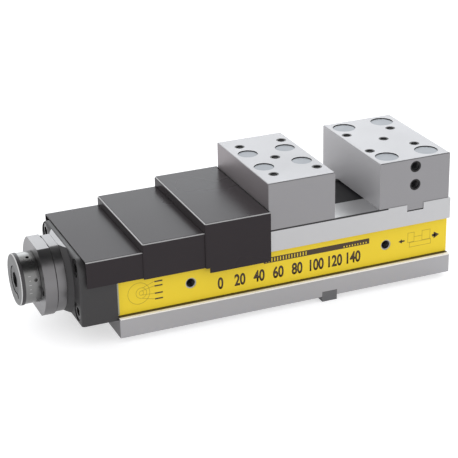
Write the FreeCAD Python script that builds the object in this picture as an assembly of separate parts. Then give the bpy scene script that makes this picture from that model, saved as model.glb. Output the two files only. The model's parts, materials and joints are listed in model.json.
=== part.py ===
"""Power machine vise with telescoping covers over its bed.

The frame: X runs along the bed towards the fixed jaw, Y across it and Z up.
x = 0 is the fixed jaw's gripping face, y = 0 the mid-plane and z = 0 the
bed's bottom face.  All sizes are in millimetres.
"""
import FreeCAD, Part
import math
import os

# Bed
bed_length = 348.4
bed_overhang = 78.7
rail_width = 126.2
rail_overhang = 6.2
base_lip = 2.3
base_height = 19.9
rail_depth = 22.0
rail_lip = 14.0
rail_root_radius = 1.8
rail_edge_chamfer = 1.3
rail_edge_chamfer_end = 9.5
bed_edge_chamfer = 1.0
guide_width = 55.0
ledge_width = 59.0
ledge_drop = 3.6
undercut_width = 76.0
channel_end = 4.0
bed_hole_spacing = 206.3
bed_hole_x = 10.4
bed_hole_drop = 10.0
bed_hole_depth = 15.0

# Side label, a thin plate on the web's near face
label_thickness = 0.5
label_rise = 0.3
label_top_gap = 0.7
label_hole_radius = 5.5
label_corner = 1.0

# Keys in the bed's underside that locate it in a table's slot
key_width = 16.0
key_length = 30.0
key_height = 10.9
key_slot_depth = 5.9
key_centre_x = -54.8
key_chamfer = 0.6

# Jaws
jaw_width = 125.0
jaw_height = 47.3
jaw_chamfer = 0.6
plug_recess = 0.7
plug_thickness = 4.0
plug_gap = 0.05
tapped_hole_depth = 16.0

fixed_jaw_length = 76.6
fixed_pocket_radius = 11.5
fixed_bolt_sink = 29.3
fixed_bolt_reach = 32.0
fixed_bolt_first = 15.5
fixed_bolt_last = 17.8
fixed_bolt_pitch_y = 92.0
fixed_tap_first = 8.0
fixed_tap_last = 19.1
fixed_tap_pitch_y = 50.0
fixed_centre_tap = 36.6
fixed_side_tap_x = 38.6
fixed_side_tap_drop = 27.3
fixed_side_tap_pitch = 18.8
jaw_key_start = 30.2
jaw_key_width = 18.1
jaw_key_depth = 6.2
jaw_key_gap = 0.9

jaw_opening = 48.3
moving_jaw_length = 69.4
moving_pocket_radius = 9.8
moving_bolt_sink = 27.3
moving_bolt_reach = 18.0
moving_bolt_first = 14.6
moving_bolt_last = 14.9
moving_bolt_pitch_y = 39.0
moving_tap_first = 15.1
moving_tap_last = 9.0
moving_tap_pitch_y = 82.0
moving_centre_tap = 35.2

# Slide under the moving jaw, its nut and the plate that closes the channel
running_gap = 0.05
slide_inset = 0.5
slide_flange_gap = 0.6
slide_flange_thickness = 8.95
slide_block_width = 56.0
slide_floor_gap = 3.0
nut_radius = 18.0
nut_flange_radius = 26.0
nut_head_room = 1.4
nut_foot_room = 1.0
nut_flange_thickness = 6.0
nut_length = 43.0
nut_screw_circle = 22.0
nut_screw_count = 2
plate_thickness = 1.5
plate_side_gap = 0.2
plate_lap = 8.0
plate_reach = 76.8
plate_screw_pitch = 20.0

# Sheet-metal covers, from the one on the jaw down to the one on the bed
cover_pass_gap = 0.4
cover_bend = 2.0
jaw_cover_length = 66.6
jaw_cover_side_gap = 0.8
jaw_cover_step = 9.7
jaw_cover_drop = 29.5
jaw_cover_sheet = 1.2
jaw_cover_flange_gap = 2.0
jaw_cover_flange_width = 118.0
jaw_cover_screw_drop = 5.2
jaw_cover_screw_inset = 14.0
cover_notch_length = 4.4
cover_notch_height = 5.0
middle_cover_length = 86.0
middle_cover_side_gap = 0.5
middle_cover_step = 8.5
middle_cover_drop = 24.3
fixed_cover_length = 87.0
fixed_cover_side_gap = 0.2
fixed_cover_step = 0.2
fixed_cover_drop = 23.5
fixed_cover_reach = 53.8
fixed_cover_setback = 5.7
cover_sheet = 1.0
fixed_cover_screw_rise = 11.5
fixed_cover_screw_inset = 5.0

# End housing that carries the spindle's thrust bearings
housing_length = 35.0
housing_side_inset = 2.6
housing_drop = 32.0
housing_rise = 1.3
housing_crown_radius = 14.0
housing_edge_radius = 3.0
housing_boss_length = 5.0
housing_bolt_side = 13.5
housing_bolt_rise = 10.5
housing_bolt_drop = 9.8
housing_bolt_pocket = 8.8
housing_bolt_pocket_depth = 10.8
housing_bolt_length = 40.0
housing_bore_radius = 24.0
housing_wall = 4.0

# Spindle and its thrust bearings
spindle_height = 49.0
screw_radius = 13.0
screw_end = -18.0
journal_radius = 12.5
collar_inset = 0.5
collar_thickness = 8.0
tail_radius = 9.0
tail_bush_wall = 3.0
tail_bush_length = 16.0
tail_bush_start = 6.0
tail_plug_thickness = 4.0
tenon_radius = 8.0
tenon_length = 5.0
washer_thickness = 2.0
washer_gap = 1.5
back_washer_thickness = 3.0
cage_thickness = 3.0
roller_radius = 1.4
roller_count = 10
roller_length = 5.5
bearing_radial_gap = 0.5

# Booster on the housing's boss: a body, a flange in front of it and springs
booster_body_radius = 36.5
booster_body_length = 9.0
booster_flange_radius = 38.0
booster_flange_length = 11.7
booster_flat = 33.8
booster_gap = 0.6
booster_gap_depth = 3.5
booster_spigot_gap = 0.1
bush_radius = 16.0
spring_pocket_radius = 24.0
spring_pocket_wall = 6.6
spring_gap = 1.5
spring_count = 2
flange_screw_pocket_depth = 6.0
flange_screw_offset = 4.8
flange_screw_angle = 188.0
flange_screw_count = 2

# Dial and drive hub on the spindle's end
dial_radius = 24.3
dial_length = 14.4
dial_hole_count = 2
dial_hole_angle = 106.0
dial_hole_radius = 1.6
dial_hole_depth = 7.0
dial_hole_offset = 6.7
dial_stop_angle = 164.0
dial_stop_offset = 4.0
dial_cap_radius = 25.0
dial_cap_thickness = 4.2
dial_cap_chamfer = 0.8
dial_slot_width = 3.6
dial_slot_depth = 3.0
dial_slot_reach = 4.5
dial_slot_angle = 237.0
hub_radius = 13.5
hub_recess = 0.5
hub_socket_width = 14.0
hub_socket_depth = 12.0
hub_chamfer = 0.8
drive_pin_radius = 1.5
dial_side_gap = 0.3

# Screw sizes: shank radius, head radius, head height, socket width and depth
thread_gap = 0.1
pass_gap = 0.5
M14 = {"shank": 7.0, "head": 10.5, "height": 14.0, "socket": 12.0, "depth": 7.0}
M12 = {"shank": 6.0, "head": 9.0, "height": 12.0, "socket": 10.0, "depth": 6.0}
M10 = {"shank": 5.0, "head": 8.0, "height": 10.0, "socket": 8.0, "depth": 5.0}
M6 = {"shank": 3.0, "head": 5.0, "height": 4.0, "socket": 5.0, "depth": 2.5}
M5 = {"shank": 2.5, "head": 4.2, "height": 5.0, "socket": 4.0, "depth": 2.5}
M4 = {"shank": 2.0, "head": 3.6, "height": 1.8, "socket": 2.5, "depth": 1.1}
tap_radius_m8 = 3.4
tap_mouth_m8 = 4.25
tap_radius_m10 = 4.25
tap_mouth_m10 = 5.0
tap_mouth_slope = 30.0

# Places worked out from the sizes above
bed_left = bed_overhang - bed_length
base_width = rail_width + 2 * base_lip
web_side = rail_width / 2 - rail_overhang
channel_floor = spindle_height - nut_flange_radius - nut_foot_room
ledge_height = spindle_height + nut_flange_radius + nut_head_room
rail_height = ledge_height + ledge_drop
rail_foot = rail_height - rail_depth
undercut_top = rail_height - rail_lip
bed_hole_height = spindle_height - bed_hole_drop
label_foot = base_height + label_rise
label_top = rail_foot - rail_root_radius - label_top_gap
jaw_top = rail_height + jaw_height
fixed_cover_width = rail_width + 2 * (fixed_cover_side_gap + cover_sheet)
middle_cover_width = fixed_cover_width + 2 * (middle_cover_side_gap + cover_sheet)
jaw_cover_width = middle_cover_width + 2 * (jaw_cover_side_gap + jaw_cover_sheet)
fixed_bolt_seat = jaw_top - fixed_bolt_sink
fixed_bolt_length = fixed_bolt_seat - rail_height + fixed_bolt_reach
fixed_bolt_pitch_x = fixed_jaw_length - fixed_bolt_first - fixed_bolt_last
fixed_tap_pitch_x = fixed_jaw_length - fixed_tap_first - fixed_tap_last
fixed_side_tap_low = jaw_top - fixed_side_tap_drop
moving_bolt_seat = jaw_top - moving_bolt_sink
moving_bolt_length = moving_bolt_seat - rail_height + moving_bolt_reach
moving_bolt_pitch_x = moving_jaw_length - moving_bolt_first - moving_bolt_last
moving_tap_pitch_x = moving_jaw_length - moving_tap_first - moving_tap_last
moving_jaw_right = -jaw_opening
moving_jaw_left = moving_jaw_right - moving_jaw_length
slide_right = moving_jaw_right - slide_inset
slide_left = moving_jaw_left + slide_inset
slide_top = rail_height + running_gap
slide_flange_width = undercut_width - 2 * slide_flange_gap
slide_flange_foot = undercut_top - running_gap - slide_flange_thickness
housing_left = bed_left - housing_length
housing_width = rail_width - 2 * housing_side_inset
housing_foot = spindle_height - housing_drop
housing_top = rail_height + housing_rise
housing_bolt_pitch_y = housing_width - 2 * housing_bolt_side
housing_bolt_low = housing_foot + housing_bolt_rise
housing_bolt_high = housing_top - housing_bolt_drop
fixed_cover_left = housing_left + fixed_cover_setback
fixed_cover_foot = rail_height - fixed_cover_drop
fixed_cover_top = housing_top + fixed_cover_step + cover_sheet
fixed_cover_screw_height = fixed_cover_foot + fixed_cover_screw_rise
middle_cover_left = fixed_cover_left + fixed_cover_reach
middle_cover_foot = rail_height - middle_cover_drop
middle_cover_top = fixed_cover_top + middle_cover_step
jaw_cover_left = moving_jaw_left - jaw_cover_length
jaw_cover_foot = rail_height - jaw_cover_drop
jaw_cover_top = middle_cover_top + jaw_cover_step
jaw_cover_flange_foot = rail_height + jaw_cover_flange_gap
jaw_cover_screw_height = jaw_cover_top - jaw_cover_screw_drop
boss_front = housing_left - housing_boss_length
body_front = boss_front - booster_body_length
flange_back = body_front - booster_gap
flange_front = flange_back - booster_flange_length
dial_back = flange_front - dial_side_gap
dial_front = dial_back - dial_length
cap_front = dial_front - dial_cap_thickness
washer_radius = housing_bore_radius - washer_gap
collar_radius = washer_radius - collar_inset
booster_spigot_radius = housing_bore_radius - booster_spigot_gap
spring_radius = spring_pocket_radius - spring_gap
flange_screw_circle = spring_pocket_radius + flange_screw_offset
tail_bush_radius = tail_radius + tail_bush_wall
bearing_stop = bed_left - housing_wall
bearing_stack = 2 * washer_thickness + cage_thickness
collar_right = bearing_stop - back_washer_thickness
collar_left = collar_right - collar_thickness
spigot_end = collar_left - bearing_stack
over = 1.0


def vec(x, y, z):
    return FreeCAD.Vector(x, y, z)


def block(x0, x1, y0, y1, z0, z1):
    return Part.makeBox(x1 - x0, y1 - y0, z1 - z0, vec(x0, y0, z0))


def wide_block(x0, x1, width, z0, z1):
    """A block centred on the mid-plane."""
    return block(x0, x1, -width / 2, width / 2, z0, z1)


def rod(radius, start, end):
    """A cylinder between two points."""
    line = end.sub(start)
    return Part.makeCylinder(radius, line.Length, start, line)


def turned(points):
    """A solid turned about the spindle's axis from (x, radius) points."""
    corners = [vec(x, 0, spindle_height + r) for x, r in points]
    face = Part.Face(Part.makePolygon(corners + [corners[0]]))
    return face.revolve(vec(0, 0, spindle_height), vec(1, 0, 0), 360)


def ring(x0, x1, inner, outer):
    return turned([(x0, inner), (x1, inner), (x1, outer), (x0, outer)])


def shaft(x0, x1, radius):
    return rod(radius, vec(x0, 0, spindle_height), vec(x1, 0, spindle_height))


def around(radius, degrees, x):
    """A point at a radius and an angle about the spindle's axis."""
    turn = math.radians(degrees)
    return vec(x, radius * math.cos(turn), spindle_height + radius * math.sin(turn))


def extruded(wire, length):
    """A profile in a plane across X, carried along X."""
    return Part.Face(wire).extrude(vec(length, 0, 0))


def set_down(shape, point, outward):
    """Moves a shape made about the Z axis so that Z points outward."""
    turn = FreeCAD.Rotation(vec(0, 0, 1), outward)
    shape.Placement = FreeCAD.Placement(point, turn)
    return shape


def hexagon(width, depth):
    """A hexagonal prism from z = 0 down, measured across its flats."""
    corner = width / math.sqrt(3)
    points = []
    for step in range(7):
        turn = math.radians(60 * step)
        points.append(vec(corner * math.cos(turn), corner * math.sin(turn), 0))
    return Part.Face(Part.makePolygon(points)).extrude(vec(0, 0, -depth))


def cap_screw(size, length, seat, outward):
    """A socket-head screw whose head rests on the seat."""
    head = Part.makeCylinder(size["head"], size["height"])
    shank = Part.makeCylinder(size["shank"], length, vec(0, 0, -length))
    socket = hexagon(size["socket"], size["depth"])
    socket.translate(vec(0, 0, size["height"]))
    return set_down(head.fuse(shank).removeSplitter().cut(socket), seat, outward)


def screw_room(size, length, seat, outward, pocket_radius, pocket_depth):
    """What a screw needs removed: its pocket and its tapped or open hole."""
    pocket = Part.makeCylinder(pocket_radius, pocket_depth)
    hole = Part.makeCylinder(size["shank"] + thread_gap, length + over, vec(0, 0, -length - over))
    return set_down(pocket.fuse(hole), seat, outward)


def tapped_hole(core, mouth, depth, point, outward):
    """A blind hole with a shallow countersink at the point."""
    slope = math.tan(math.radians(tap_mouth_slope))
    sink = (mouth - core) * slope
    bore = Part.makeCylinder(core, depth + over, vec(0, 0, -depth))
    chamfer = Part.makeCone(core, mouth + over / slope, sink + over, vec(0, 0, -sink))
    return set_down(bore.fuse(chamfer), point, outward)


def cut_all(body, tools):
    for tool in tools:
        body = body.cut(tool)
    return body


def chamfer_edges(body, size, wanted):
    """Chamfers the edges that the test picks out."""
    edges = [edge for edge in body.Edges if wanted(edge.BoundBox)]
    return body.makeChamfer(size, edges)


def fillet_edges(body, radius, wanted):
    edges = [edge for edge in body.Edges if wanted(edge.BoundBox)]
    return body.makeFillet(radius, edges)


def near(a, b):
    return abs(a - b) < 0.01


def grid(first, pitch_x, pitch_y):
    """Four places: two along X from the first, and two about the mid-plane."""
    return [(x, y) for x in (first, first + pitch_x) for y in (-pitch_y / 2, pitch_y / 2)]


def bed_profile():
    """Half of the bed's outline across X: base, web and the rail that overhangs it."""
    base = base_width / 2
    rail = rail_width / 2
    root = rail_root_radius
    bend = root * (1 - math.sqrt(0.5))
    below = vec(bed_left, web_side, rail_foot - root)
    middle = vec(bed_left, web_side + bend, rail_foot - bend)
    beside = vec(bed_left, web_side + root, rail_foot)
    lower = [(0, 0), (base, 0), (base, base_height), (web_side, base_height), (web_side, rail_foot - root)]
    upper = [(web_side + root, rail_foot), (rail, rail_foot), (rail, rail_height), (0, rail_height), (0, 0)]
    edges = []
    for run in (lower, upper):
        corners = [vec(bed_left, y, z) for y, z in run]
        edges += Part.makePolygon(corners).Edges
    edges.insert(len(lower) - 1, Part.Arc(below, middle, beside).toShape())
    return Part.Wire(edges)


def make_bed():
    half = extruded(bed_profile(), bed_length)
    bed = half.fuse(half.mirror(vec(0, 0, 0), vec(0, 1, 0))).removeSplitter()
    bed = chamfer_edges(bed, bed_edge_chamfer, is_base_edge)
    reach = bed_left - over
    edge_end = rail_edge_chamfer_end
    for side in (-1, 1):
        y = side * rail_width / 2
        corner = [
            vec(reach, y, rail_height - rail_edge_chamfer),
            vec(reach, y - side * rail_edge_chamfer, rail_height),
            vec(reach, y, rail_height + over),
            vec(reach, y + side * over, rail_height + over),
            vec(reach, y + side * over, rail_height - rail_edge_chamfer),
            vec(reach, y, rail_height - rail_edge_chamfer),
        ]
        bed = bed.cut(extruded(Part.makePolygon(corner), edge_end - reach))
    channel = wide_block(reach, channel_end, guide_width, channel_floor, rail_height + over)
    undercut = wide_block(reach, channel_end, undercut_width, channel_floor, undercut_top)
    plate_way = wide_block(reach, bed_overhang + over, ledge_width, ledge_height, rail_height + over)
    tail = shaft(0, bed_overhang + over, tail_bush_radius)
    bed = cut_all(bed, [channel, undercut, plate_way, tail])
    key_end = jaw_key_start + jaw_key_width
    key_floor = rail_height - jaw_key_depth - jaw_key_gap
    jaw_key_slot = wide_block(jaw_key_start, key_end, rail_width + over, key_floor, rail_height + over)
    start = key_centre_x - key_width / 2
    table_key_slot = wide_block(start, start + key_width, base_width + over, -over, key_slot_depth)
    bed = cut_all(bed, [jaw_key_slot, table_key_slot])
    bed = cut_all(bed, bed_side_holes() + fixed_bolt_rooms() + housing_bolt_rooms())
    return cut_all(bed, table_key_rooms() + fixed_cover_rooms())


def is_base_edge(box):
    """The base's long outer edges and the upright ones at its ends."""
    at_side = near(abs(box.YMin), base_width / 2) and near(box.YMin, box.YMax)
    return at_side and box.ZMax < base_height + over


def bed_side_holes():
    holes = []
    for side in (-1, 1):
        for x in (bed_hole_x - bed_hole_spacing, bed_hole_x):
            point = vec(x, side * web_side, bed_hole_height)
            hole = tapped_hole(tap_radius_m10, tap_mouth_m10, bed_hole_depth, point, vec(0, side, 0))
            holes.append(hole)
    return holes


def fixed_bolt_places():
    places = grid(fixed_bolt_first, fixed_bolt_pitch_x, fixed_bolt_pitch_y)
    return [vec(x, y, fixed_bolt_seat) for x, y in places]


def fixed_bolt_rooms():
    up = vec(0, 0, 1)
    depth = jaw_top - fixed_bolt_seat + over
    rooms = []
    for place in fixed_bolt_places():
        rooms.append(screw_room(M14, fixed_bolt_length, place, up, fixed_pocket_radius, depth))
    return rooms


def make_fixed_jaw():
    """A block keyed across the bed, with side holes that stay alike when it is turned round."""
    jaw = wide_block(0, fixed_jaw_length, jaw_width, rail_height, jaw_top)
    jaw = chamfer_edges(jaw, jaw_chamfer, is_jaw_top_edge)
    key_end = jaw_key_start + jaw_key_width
    key = wide_block(jaw_key_start, key_end, jaw_width, rail_height - jaw_key_depth, rail_height)
    middle = wide_block(jaw_key_start, key_end, ledge_width + 2 * pass_gap, 0, rail_height)
    jaw = jaw.fuse(key.cut(middle)).removeSplitter()
    up = vec(0, 0, 1)
    places = grid(fixed_tap_first, fixed_tap_pitch_x, fixed_tap_pitch_y) + [(fixed_centre_tap, 0)]
    for x, y in places:
        point = vec(x, y, jaw_top)
        jaw = jaw.cut(tapped_hole(tap_radius_m8, tap_mouth_m8, tapped_hole_depth, point, up))
    for side, x in ((-1, fixed_side_tap_x), (1, fixed_jaw_length - fixed_side_tap_x)):
        for z in (fixed_side_tap_low, fixed_side_tap_low + fixed_side_tap_pitch):
            point = vec(x, side * jaw_width / 2, z)
            outward = vec(0, side, 0)
            jaw = jaw.cut(tapped_hole(tap_radius_m10, tap_mouth_m10, tapped_hole_depth, point, outward))
    return cut_all(jaw, fixed_bolt_rooms())


def is_jaw_top_edge(box):
    return near(box.ZMin, jaw_top)


def make_fixed_jaw_bolts():
    up = vec(0, 0, 1)
    return [cap_screw(M14, fixed_bolt_length, place, up) for place in fixed_bolt_places()]


def plugs(places, radius):
    """Thin caps pressed into the jaw's bolt pockets, just below its top."""
    top = jaw_top - plug_recess
    return [rod(radius - plug_gap, vec(p.x, p.y, top - plug_thickness), vec(p.x, p.y, top)) for p in places]


def make_side_label():
    face = web_side + label_thickness
    label = block(bed_left + over, bed_overhang, -face, -web_side, label_foot, label_top)
    label = fillet_edges(label, label_corner, is_across)
    for x in (bed_hole_x - bed_hole_spacing, bed_hole_x):
        start = vec(x, -web_side + over, bed_hole_height)
        end = vec(x, -face - over, bed_hole_height)
        label = label.cut(rod(label_hole_radius, start, end))
    return label


def is_across(box):
    """Short edges that run along Y only."""
    return near(box.XMin, box.XMax) and near(box.ZMin, box.ZMax)


def table_key_places():
    inset = (base_width - key_length) / 2
    seat = key_slot_depth - key_height + M6["height"] + over
    return [vec(key_centre_x, side * inset, seat) for side in (-1, 1)]


def table_key_rooms():
    down = vec(0, 0, -1)
    depth = M6["height"] + 2 * over
    rooms = []
    for place in table_key_places():
        rooms.append(screw_room(M6, tapped_hole_depth, place, down, M6["head"] + pass_gap, depth))
    return rooms


def make_locating_keys():
    keys = []
    foot = key_slot_depth - key_height
    for side, room in zip((-1, 1), table_key_rooms()):
        outer = side * base_width / 2
        inner = outer - side * key_length
        start = key_centre_x - key_width / 2
        low, high = min(inner, outer), max(inner, outer)
        key = block(start, start + key_width, low, high, foot, key_slot_depth)
        key = chamfer_edges(key, key_chamfer, is_key_foot_edge)
        keys.append(key.cut(room))
    return keys


def is_key_foot_edge(box):
    return near(box.ZMax, key_slot_depth - key_height)


def make_locating_key_screws():
    down = vec(0, 0, -1)
    return [cap_screw(M6, tapped_hole_depth, place, down) for place in table_key_places()]


def moving_bolt_places():
    first = moving_jaw_left + moving_bolt_first
    places = grid(first, moving_bolt_pitch_x, moving_bolt_pitch_y)
    return [vec(x, y, moving_bolt_seat) for x, y in places]


def moving_bolt_rooms():
    up = vec(0, 0, 1)
    depth = jaw_top - moving_bolt_seat + over
    rooms = []
    for place in moving_bolt_places():
        rooms.append(screw_room(M12, moving_bolt_length, place, up, moving_pocket_radius, depth))
    return rooms


def make_moving_jaw():
    jaw = wide_block(moving_jaw_left, moving_jaw_right, jaw_width, slide_top, jaw_top)
    jaw = chamfer_edges(jaw, jaw_chamfer, is_jaw_top_edge)
    first = moving_jaw_left + moving_tap_first
    places = grid(first, moving_tap_pitch_x, moving_tap_pitch_y)
    places.append((moving_jaw_left + moving_centre_tap, 0))
    for x, y in places:
        point = vec(x, y, jaw_top)
        jaw = jaw.cut(tapped_hole(tap_radius_m8, tap_mouth_m8, tapped_hole_depth, point, vec(0, 0, 1)))
    return cut_all(jaw, moving_bolt_rooms() + jaw_cover_rooms())


def make_moving_jaw_bolts():
    up = vec(0, 0, 1)
    return [cap_screw(M12, moving_bolt_length, place, up) for place in moving_bolt_places()]


def make_jaw_slide():
    """A T-shaped slide: a neck between the rails, a flange under them and a nut block."""
    neck_width = guide_width - 2 * running_gap
    flange_top = undercut_top - running_gap
    neck = wide_block(slide_left, slide_right, neck_width, flange_top, slide_top)
    flange = wide_block(slide_left, slide_right, slide_flange_width, slide_flange_foot, flange_top)
    foot = channel_floor + slide_floor_gap
    nut_block = wide_block(slide_left, slide_right, slide_block_width, foot, slide_flange_foot)
    slide = neck.fuse([flange, nut_block]).removeSplitter()
    plate_step = wide_block(slide_right - plate_lap, slide_right, guide_width, plate_foot(), slide_top)
    nut_bore = shaft(slide_left - over, slide_right + over, nut_radius + thread_gap)
    slide = cut_all(slide, [plate_step, nut_bore])
    return cut_all(slide, moving_bolt_rooms() + nut_screw_rooms() + plate_screw_rooms())


def plate_foot():
    return ledge_height + running_gap


def nut_screw_places():
    x = slide_left - nut_flange_thickness + M5["height"]
    step = 360 / nut_screw_count
    return [around(nut_screw_circle, step * i, x) for i in range(nut_screw_count)]


def nut_screw_rooms():
    back = vec(-1, 0, 0)
    depth = nut_flange_thickness
    rooms = []
    for place in nut_screw_places():
        rooms.append(screw_room(M5, tapped_hole_depth, place, back, M5["head"] + thread_gap, depth))
    return rooms


def make_lead_nut():
    """A flanged bronze nut on the screw, held by the screws in its flange."""
    flange_front = slide_left - nut_flange_thickness
    inner = screw_radius + running_gap
    nut = turned([
        (flange_front, inner),
        (slide_left + nut_length, inner),
        (slide_left + nut_length, nut_radius),
        (slide_left, nut_radius),
        (slide_left, nut_flange_radius),
        (flange_front, nut_flange_radius),
    ])
    return cut_all(nut, nut_screw_rooms())


def make_nut_screws():
    back = vec(-1, 0, 0)
    return [cap_screw(M5, tapped_hole_depth, place, back) for place in nut_screw_places()]


def plate_screw_places():
    x = slide_right - plate_lap / 2
    z = plate_foot() + plate_thickness
    return [vec(x, side * plate_screw_pitch / 2, z) for side in (-1, 1)]


def plate_screw_rooms():
    up = vec(0, 0, 1)
    depth = M4["height"]
    length = plate_thickness + 2 * M4["shank"]
    rooms = []
    for place in plate_screw_places():
        rooms.append(screw_room(M4, length, place, up, M4["head"] + thread_gap, depth))
    return rooms


def make_chip_plate():
    """A thin plate screwed to the slide that closes the channel between the jaws."""
    left = slide_right - plate_lap
    top = plate_foot() + plate_thickness
    width = ledge_width - 2 * plate_side_gap
    plate = wide_block(left, slide_right + plate_reach, width, plate_foot(), top)
    return cut_all(plate, plate_screw_rooms())


def make_chip_plate_screws():
    up = vec(0, 0, 1)
    length = plate_thickness + 2 * M4["shank"]
    return [cap_screw(M4, length, place, up) for place in plate_screw_places()]


def folded_cover(left, right, width, foot, top, sheet, end_wall):
    """A sheet folded down on both sides, and at its left end where asked."""
    inner_bend = cover_bend - sheet
    shell = wide_block(left, right, width, foot, top)
    shell = fillet_edges(shell, cover_bend, lambda box: is_fold(box, left, right, top, end_wall))
    inner_left = left + sheet if end_wall else left - over
    inner_right = right + over
    inner_top = top - sheet
    room = wide_block(inner_left, inner_right, width - 2 * sheet, foot - over, inner_top)
    inner = (inner_left, inner_right, inner_top)
    room = fillet_edges(room, inner_bend, lambda box: is_fold(box, *inner, end_wall))
    return shell.cut(room)


def is_fold(box, left, right, top, end_wall):
    """The two long top edges, and the left end's own edges where it is closed."""
    long_fold = near(box.ZMin, top) and near(box.XMin, left) and near(box.XMax, right)
    end_fold = near(box.XMax, left) and (near(box.ZMin, top) or near(box.YMin, box.YMax))
    return long_fold or (end_wall and end_fold)


def cover_way(left, width, top):
    """The opening in a cover's end wall for the next cover."""
    right = left + cover_bend + over
    return wide_block(left - over, right, width + 2 * cover_pass_gap, 0, top + cover_pass_gap)


def jaw_cover_places():
    x = moving_jaw_left - jaw_cover_sheet
    y = jaw_cover_flange_width / 2 - jaw_cover_screw_inset
    return [vec(x, side * y, jaw_cover_screw_height) for side in (-1, 1)]


def jaw_cover_rooms():
    back = vec(-1, 0, 0)
    length = jaw_cover_sheet + 4 * M4["shank"]
    rooms = []
    for place in jaw_cover_places():
        rooms.append(screw_room(M4, length, place, back, M4["head"], M4["height"]))
    return rooms


def make_jaw_cover():
    right = moving_jaw_left
    cover = folded_cover(
        jaw_cover_left, right, jaw_cover_width, jaw_cover_foot, jaw_cover_top, jaw_cover_sheet, True)
    flange_top = jaw_cover_top - jaw_cover_sheet
    flange = wide_block(
        right - jaw_cover_sheet, right, jaw_cover_flange_width, jaw_cover_flange_foot, flange_top)
    cover = cover.fuse(flange).removeSplitter()
    way = cover_way(jaw_cover_left, middle_cover_width, middle_cover_top)
    notch_end = jaw_cover_left + cover_notch_length
    notch_top = jaw_cover_foot + cover_notch_height
    notch = wide_block(jaw_cover_left - over, notch_end, jaw_cover_width + over, 0, notch_top)
    return cut_all(cover, [way, notch] + jaw_cover_rooms())


def make_jaw_cover_screws():
    back = vec(-1, 0, 0)
    length = jaw_cover_sheet + 4 * M4["shank"]
    return [cap_screw(M4, length, place, back) for place in jaw_cover_places()]


def make_middle_cover():
    left = middle_cover_left
    cover = folded_cover(
        left, left + middle_cover_length, middle_cover_width, middle_cover_foot, middle_cover_top,
        cover_sheet, True)
    return cover.cut(cover_way(left, fixed_cover_width, fixed_cover_top))


def fixed_cover_places():
    """A sunk screw on each side, under the middle cover."""
    x = fixed_cover_left + fixed_cover_length - fixed_cover_screw_inset
    width = fixed_cover_width / 2
    return [(vec(x, side * width, fixed_cover_screw_height), vec(0, side, 0)) for side in (-1, 1)]


def sunk_screw(point, outward, grow):
    """A countersunk screw flush with the sheet, or its room when grown."""
    deep = cover_sheet + 4 * M4["shank"]
    head = Part.makeCone(M4["shank"] + grow, M4["head"] + grow, cover_sheet, vec(0, 0, -cover_sheet))
    shank = Part.makeCylinder(M4["shank"] + grow, deep + grow, vec(0, 0, -deep - grow))
    return set_down(head.fuse(shank).removeSplitter(), point, outward)


def fixed_cover_rooms():
    return [sunk_screw(point, outward, thread_gap) for point, outward in fixed_cover_places()]


def make_fixed_cover():
    left = fixed_cover_left
    cover = folded_cover(
        left, left + fixed_cover_length, fixed_cover_width, fixed_cover_foot, fixed_cover_top,
        cover_sheet, False)
    return cut_all(cover, fixed_cover_rooms())


def make_fixed_cover_screws():
    return [sunk_screw(point, outward, 0) for point, outward in fixed_cover_places()]


def housing_bolt_places():
    x = housing_left + housing_bolt_pocket_depth
    half = housing_bolt_pitch_y / 2
    return [vec(x, y, z) for y in (-half, half) for z in (housing_bolt_low, housing_bolt_high)]


def housing_bolt_rooms():
    back = vec(-1, 0, 0)
    depth = housing_bolt_pocket_depth + over
    rooms = []
    for place in housing_bolt_places():
        rooms.append(screw_room(M10, housing_bolt_length, place, back, housing_bolt_pocket, depth))
    return rooms


def make_end_housing():
    """A cast block with rounded shoulders and a flared boss, bored for the thrust bearings."""
    housing = wide_block(housing_left, bed_left, housing_width, housing_foot, housing_top)
    housing = fillet_edges(housing, housing_crown_radius, lambda box: is_long_edge(box, housing_top))
    housing = fillet_edges(housing, housing_edge_radius, is_front_edge)
    housing = housing.fuse(housing_boss()).removeSplitter()
    bore = shaft(boss_front - over, bearing_stop, housing_bore_radius)
    screw_hole = shaft(bearing_stop - over, bed_left + over, screw_radius + over)
    housing = cut_all(housing, [bore, screw_hole])
    return cut_all(housing, housing_bolt_rooms() + flange_screw_rooms())


def housing_boss():
    """A boss that narrows from the housing's front to the booster's size, with its flats."""
    cone = turned([
        (boss_front, 0),
        (boss_front, booster_body_radius),
        (housing_left, booster_body_radius + housing_boss_length),
        (housing_left, 0),
    ])
    flat = spindle_height + booster_flat
    return cone.common(wide_block(boss_front, housing_left, housing_width, housing_foot, flat))


def is_front_edge(box):
    """The front outline's edges above the foot."""
    return near(box.XMax, housing_left) and box.ZMax > housing_foot + over


def is_long_edge(box, height):
    runs_along = near(box.YMin, box.YMax) and near(box.ZMin, box.ZMax)
    return runs_along and near(box.ZMin, height)


def make_housing_bolts():
    back = vec(-1, 0, 0)
    return [cap_screw(M10, housing_bolt_length, place, back) for place in housing_bolt_places()]


def make_spindle():
    """Drive tenon, plain journal, thrust collar, lead screw and tail journal."""
    return turned([
        (dial_back - tenon_length, 0),
        (dial_back - tenon_length, tenon_radius),
        (dial_back, tenon_radius),
        (dial_back, journal_radius),
        (collar_left, journal_radius),
        (collar_left, collar_radius),
        (collar_right, collar_radius),
        (collar_right, screw_radius),
        (screw_end, screw_radius),
        (screw_end, tail_radius),
        (tail_bush_start + tail_bush_length, tail_radius),
        (tail_bush_start + tail_bush_length, 0),
    ]).cut(drive_pin(thread_gap))


def drive_pin(grow):
    """The cross pin through the hub and the spindle's tenon."""
    x = dial_back - tenon_length / 2
    reach = hub_radius - hub_recess
    return rod(drive_pin_radius + grow, around(reach, 90, x), around(reach, 270, x))


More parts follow.
